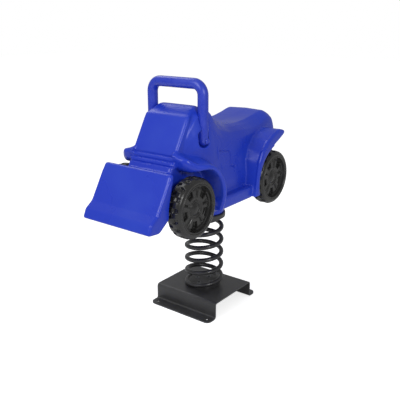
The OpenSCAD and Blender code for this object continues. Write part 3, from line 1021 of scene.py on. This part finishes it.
@dataclass
class BlockyWheel:
    """A moulded wheel: two staggered rows of tread blocks and a dished face with twin-ribbed spokes.

    Its face is a height over radius and angle, and its tread is a radius over width and angle.
    """

    corner: str
    around: int = 360
    blocks: int = 18
    block_share: float = 0.62
    block_h: float = 7.0
    spokes: int = 5
    first_spoke_deg: float = 84.0
    dish: float = 14.0
    bore_r: float = 12.1
    counterbore_r: float = 17.0
    counterbore_depth: float = 13.0
    shoulder_r: float = 17.0
    window_half_deg: float = 13.5
    window_depth: float = 12.0
    window: Band = Band((42, 45), (70, 73))
    slot_half_deg: float = 2.4
    slot_depth: float = 5.0
    slot: Band = Band((37, 40), (60, 64))
    rib_deg: float = 6.5
    rib_width_deg: float = 1.6
    rib_h: float = 1.8
    rib: Band = Band((32, 36), (66, 71))
    swell_h: float = 3.0
    swell: Band = Band((28, 33), (60, 74))
    hub_ring_h: float = 2.0
    hub_ring: Band = Band((22.6, 23.6), (26.2, 27.4))
    rim: Band = Band(rise=(73, 78))
    rim_inset: float = 0.5
    groove_depth: float = 1.6
    groove: Band = Band((80.5, 81.5), (82.5, 83.5))
    block_edge: float = 0.035
    row_edge: float = 1.5
    centre_rib_share: float = 0.75
    centre_rib: Band = Band(fall=(2.0, 4.0))
    inner_rib: Band = Band(fall=(3.0, 5.0))
    outer_rib: Band = Band(fall=(7.5, 9.5))
    tread_start_r: float = 88.0
    tread_start_w: float = 8.0
    tread_step: float = 1.6
    hub_radii: tuple[float, ...] = (17.6, 20.0, 22.4, 23.2, 24.0, 26.0, 27.0, 28.0)
    spoke_radii: tuple[float, float, float] = (29.0, 74.0, 1.5)
    rim_radii: tuple[float, ...] = (
        74.0, 75.0, 76.0, 77.0, 78.0, 79.2, 80.5, 81.0, 81.5, 82.5, 83.0, 83.5
    )
    back: tuple[tuple[float, float], ...] = (
        (70.0, 0.0), (68.0, 2.0), (67.0, 13.0), (65.0, 14.5), (33.0, 14.5), (31.0, 13.0), (30.0, 2.0),
        (28.0, 0.0),
    )

    def face_height(self, r: np.ndarray, turn: np.ndarray, width: float) -> np.ndarray:
        """Height of the outer face in mm, for radii in mm and angles in radians.

        Args:
            r: distances from the axle.
            turn: angles about it.
            width: the tread's width.

        Returns:
            The heights over the wheel's inner side.
        """
        step = 2 * math.pi / self.spokes
        place = (turn - math.radians(self.first_spoke_deg)) / step
        off_spoke = np.degrees(np.abs((place + 0.5) % 1 - 0.5) * step)
        off_window = np.degrees(np.abs(place % 1 - 0.5) * step)
        window = 1 - smoothstep(self.window_half_deg - 1.5, self.window_half_deg + 1.5, off_window)
        slot = 1 - smoothstep(self.slot_half_deg - 1, self.slot_half_deg + 1, off_spoke)
        rib = np.exp(-(((off_spoke - self.rib_deg) / self.rib_width_deg) ** 2))
        level = width - self.dish + self.swell_h * self.swell.share(r)
        level = level + self.rib_h * rib * self.rib.share(r)
        level = level - self.window_depth * window * self.window.share(r)
        level = level - self.slot_depth * slot * self.slot.share(r)
        level = level + self.hub_ring_h * self.hub_ring.share(r)
        rim = self.rim.share(r)
        level = level * (1 - rim) + (width - self.rim_inset) * rim
        return level - self.groove_depth * self.groove.share(r)

    def block_mask(self, turn: np.ndarray, row: int) -> np.ndarray:
        """1 on the blocks of a row and 0 in the pockets between them.

        Args:
            turn: angles about the axle in radians.
            row: 0 for the inner row and 1 for the outer.

        Returns:
            A share for each of the angles.
        """
        step = 2 * math.pi / self.blocks
        off = np.abs((turn / step + 0.5 * row) % 1 - 0.5)
        half = self.block_share / 2
        return 1 - smoothstep(half - self.block_edge, half + self.block_edge, off)

    def tread_drop(self, x: np.ndarray, turn: np.ndarray, width: float) -> np.ndarray:
        """How far the tread lies below its full radius, in mm.

        Args:
            x: heights over the wheel's inner side in mm.
            turn: angles about the axle in radians.
            width: the tread's width in mm.

        Returns:
            The depths.
        """
        mid = width * 0.5
        outer = smoothstep(mid - self.row_edge, mid + self.row_edge, x)
        mask = self.block_mask(turn, 0) * (1 - outer) + self.block_mask(turn, 1) * outer
        mask = mask + self.centre_rib_share * self.centre_rib.share(np.abs(x - mid))
        mask = mask + self.inner_rib.share(x) + self.outer_rib.share(width - x)
        return self.block_h * (1 - np.clip(mask, 0, 1))

    def profile(self, width: float, wheel_r: float) -> list[tuple[str, float, float]]:
        """Places round the wheel's section, as (zone, radius, height) in mm.

        Args:
            width: the tread's width.
            wheel_r: the wheel's radius.

        Returns:
            The places, from the bore over the face and the tread to the back.
        """
        floor = width - self.dish
        seat = floor - self.counterbore_depth
        side = wheel_r - self.shoulder_r
        inside = [(self.bore_r, 0.0), (self.bore_r, seat), (self.counterbore_r, seat)]
        rows = [("plain", r, x) for r, x in (*inside, (self.counterbore_r, floor - 0.4))]
        radii = [*self.hub_radii, *np.arange(*self.spoke_radii), *self.rim_radii, side]
        rows += [("face", r, 0.0) for r in radii]
        arc = [math.radians(d) for d in range(10, 90, 10)]
        r0 = self.shoulder_r
        rows += [("tread", side + r0 * math.sin(a), width - r0 + r0 * math.cos(a)) for a in arc]
        rows += [("tread", wheel_r, x) for x in np.arange(width - r0, r0 - 0.1, -self.tread_step)]
        rows += [("tread", side + r0 * math.cos(a), r0 - r0 * math.sin(a)) for a in arc]
        rows += [("plain", r, x) for r, x in ((side, 0.0), *self.back)]
        return rows

    def build(self) -> tuple[np.ndarray, list[list[int]]]:
        """Revolves the section, with the face's and the tread's relief.

        Returns:
            Vertices in metres in the frame's axes, and faces.
        """
        low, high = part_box(f"{self.corner}_wheel")
        left = low[0] + high[0] > 0
        width = (high[0] - low[0]) / MM
        wheel_r = (high[2] - low[2]) / 2 / MM
        turn = np.linspace(0, 2 * math.pi, self.around, endpoint=False)
        rings = []
        for zone, r, x in self.profile(width, wheel_r):
            radius = np.full(self.around, r)
            height = np.full(self.around, x)
            if zone == "face":
                height = self.face_height(radius, turn, width)
            elif zone == "tread":
                depth = min(1.0, (r - self.tread_start_r) / self.tread_start_w)
                radius = radius - self.tread_drop(height, turn, width) * depth
            rings.append(np.stack([height, radius * np.cos(turn), radius * np.sin(turn)], 1))
        points = np.concatenate(rings) * MM
        inner = low[0] if left else high[0]
        points[:, 0] = inner + (points[:, 0] if left else -points[:, 0])
        points[:, 1] += (low[1] + high[1]) / 2
        points[:, 2] += (low[2] + high[2]) / 2
        faces = []
        rows = len(rings)
        for j in range(rows):
            for i in range(self.around):
                a, b = j * self.around + i, j * self.around + (i + 1) % self.around
                c, d = (b + self.around) % len(points), (a + self.around) % len(points)
                faces.append([a, b, c, d] if left else [d, c, b, a])
        return points, faces

    def dress(self, paints: Paintbox) -> None:
        """Builds the wheel and puts it in the node's place.

        Args:
            paints: hands out the finishes.
        """
        points, faces = self.build()
        piece = new_piece(f"{self.corner}_tyre_and_rim", points, faces)
        paint(piece, paints.get(Finish.WHEEL))
        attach(piece, f"{self.corner}_wheel_set")
        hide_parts(f"{self.corner}_wheel")
        log.info("%s: %d faces", piece.name, len(piece.data.polygons))


@dataclass(frozen=True)
class Softbox:
    """A square soft light: its place, its side in metres and its power in watts."""

    place: tuple[float, float, float]
    size: float
    power: float


@dataclass
class Studio:
    """Pale floor, soft white light and the camera."""

    eye: tuple[float, float, float] = (1.2119, -1.6224, 1.0461)
    pitch_deg: float = 90 - 17.65
    heading_deg: float = 37.2
    lens: float = 567 / 400 * 36
    surround: float = 0.4
    aim: tuple[float, float, float] = (0.0, 0.0, 0.5)
    floor_half: float = 14.0
    floor_glow: float = 0.65
    lamps: tuple[Softbox, ...] = (
        Softbox((-0.4, -2.7, 2.5), 1.3, 40),
        Softbox((2.5, -1.3, 1.7), 0.55, 25),
        Softbox((-1.8, 0.4, 2.8), 1.4, 14),
    )

    def camera(self) -> None:
        """Sets up the camera."""
        data = bpy.data.cameras.new("camera")
        data.sensor_fit = "HORIZONTAL"
        data.sensor_width = 36
        data.lens = self.lens
        camera = bpy.data.objects.new("camera", data)
        camera.location = self.eye
        camera.rotation_euler = (math.radians(self.pitch_deg), 0, math.radians(self.heading_deg))
        bpy.context.scene.collection.objects.link(camera)
        bpy.context.scene.camera = camera

    def world(self) -> None:
        """White to the camera, softer to everything else."""
        world = bpy.data.worlds.new("surround")
        world.use_nodes = True
        tree = world.node_tree
        tree.nodes.clear()
        shown = tree.nodes.new("ShaderNodeBackground")
        shown.inputs["Color"].default_value = (1, 1, 1, 1)
        lit = tree.nodes.new("ShaderNodeBackground")
        lit.inputs["Color"].default_value = (1, 1, 1, 1)
        lit.inputs["Strength"].default_value = self.surround
        rays = tree.nodes.new("ShaderNodeLightPath")
        mix = tree.nodes.new("ShaderNodeMixShader")
        out = tree.nodes.new("ShaderNodeOutputWorld")
        tree.links.new(rays.outputs["Is Camera Ray"], mix.inputs[0])
        tree.links.new(lit.outputs[0], mix.inputs[1])
        tree.links.new(shown.outputs[0], mix.inputs[2])
        tree.links.new(mix.outputs[0], out.inputs["Surface"])
        bpy.context.scene.world = world

    def lamp(self, box: Softbox) -> None:
        """Adds a square soft light that faces the rider.

        Args:
            box: its place, size and power.
        """
        data = bpy.data.lights.new("softbox", "AREA")
        data.size = box.size
        data.energy = box.power
        lamp = bpy.data.objects.new("softbox", data)
        lamp.location = box.place
        aim = Vector(self.aim) - Vector(box.place)
        lamp.rotation_euler = aim.to_track_quat("-Z", "Y").to_euler()
        bpy.context.scene.collection.objects.link(lamp)

    def floor(self) -> None:
        """Adds the pale floor, which looks white where no shadow falls."""
        half = self.floor_half
        corners = np.array([(-half, -half, 0), (half, -half, 0), (half, half, 0), (-half, half, 0)])
        floor = new_piece("floor", corners, [[0, 1, 2, 3]])
        m = Maker("pale_floor")
        seen = m.node("ShaderNodeLightPath", {}, {}, "Is Camera Ray")
        grain = m.noise(0.02, 2.0)
        m.surface(
            Base_Color=m.mix(grain * 0.1, (0.93, 0.93, 0.93, 1), (0.9, 0.9, 0.9, 1)),
            Roughness=0.9,
            Emission_Color=m.mix(seen, (0, 0, 0, 1), (1, 1, 1, 1)),
            Emission_Strength=self.floor_glow,
        )
        paint(floor, m.material)

    def build(self) -> None:
        """Sets up everything round the rider."""
        self.camera()
        self.world()
        for box in self.lamps:
            self.lamp(box)
        self.floor()
        bpy.context.scene.view_settings.view_transform = "Standard"


def copied_parts() -> list[CopiedPart]:
    """Every CAD node that is shown with rounded edges.

    Returns:
        One part for each node.
    """
    parts = [
        CopiedPart("base_frame", "base", Finish.STEEL, "steel_grey_paint", 1.0 * MM),
        CopiedPart("lower_clamp", "base", Finish.STEEL, "steel_grey_paint"),
        CopiedPart("lower_clamp_bolts", "base", Finish.ZINC, "zinc_plate", 0.4 * MM),
        CopiedPart("lower_clamp_nuts", "base", Finish.ZINC, "zinc_plate", 0.4 * MM),
        CopiedPart("upper_cup", "rider", Finish.STEEL, "steel_grey_paint", 0.8 * MM),
        CopiedPart("upper_clamp", "rider", Finish.STEEL, "steel_grey_paint"),
        CopiedPart("upper_clamp_bolts", "rider", Finish.ZINC, "zinc_plate", 0.4 * MM),
        CopiedPart("body_inserts", "rider", Finish.ZINC, "zinc_plate", 0.3 * MM),
        CopiedPart("handle_bolts", "rider", Finish.HANDLE, "handle_paint", 0.5 * MM),
        CopiedPart("front_axle", "rider", Finish.ZINC, "zinc_plate", 0.5 * MM),
        CopiedPart("rear_axle", "rider", Finish.ZINC, "zinc_plate", 0.5 * MM),
        CopiedPart("axle_spacers", "rider", Finish.ZINC, "zinc_plate", 0.4 * MM),
        CopiedPart("axle_nuts", "rider", Finish.ZINC, "zinc_plate", 0.4 * MM),
    ]
    for corner in CORNERS:
        set_name = f"{corner}_wheel_set"
        parts.append(CopiedPart(f"{corner}_bush", set_name, Finish.BUSH, "bush_plastic", 0.4 * MM))
        parts.append(CopiedPart(f"{corner}_cap", set_name, Finish.WHEEL, "wheel_plastic", 0.6 * MM))
    return parts


def main() -> None:
    """Builds every class in order and reports each piece."""
    logging.basicConfig(level=logging.INFO, format="%(name)s %(message)s")
    _frame.update(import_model())
    paints = Paintbox()
    for part in copied_parts():
        part.dress(paints)
    CoilSpring().dress(paints)
    MouldedBody().dress(paints)
    HandleTube().dress(paints)
    for corner in CORNERS:
        BlockyWheel(corner).dress(paints)
    Studio().build()


if __name__ == "__main__":
    main()
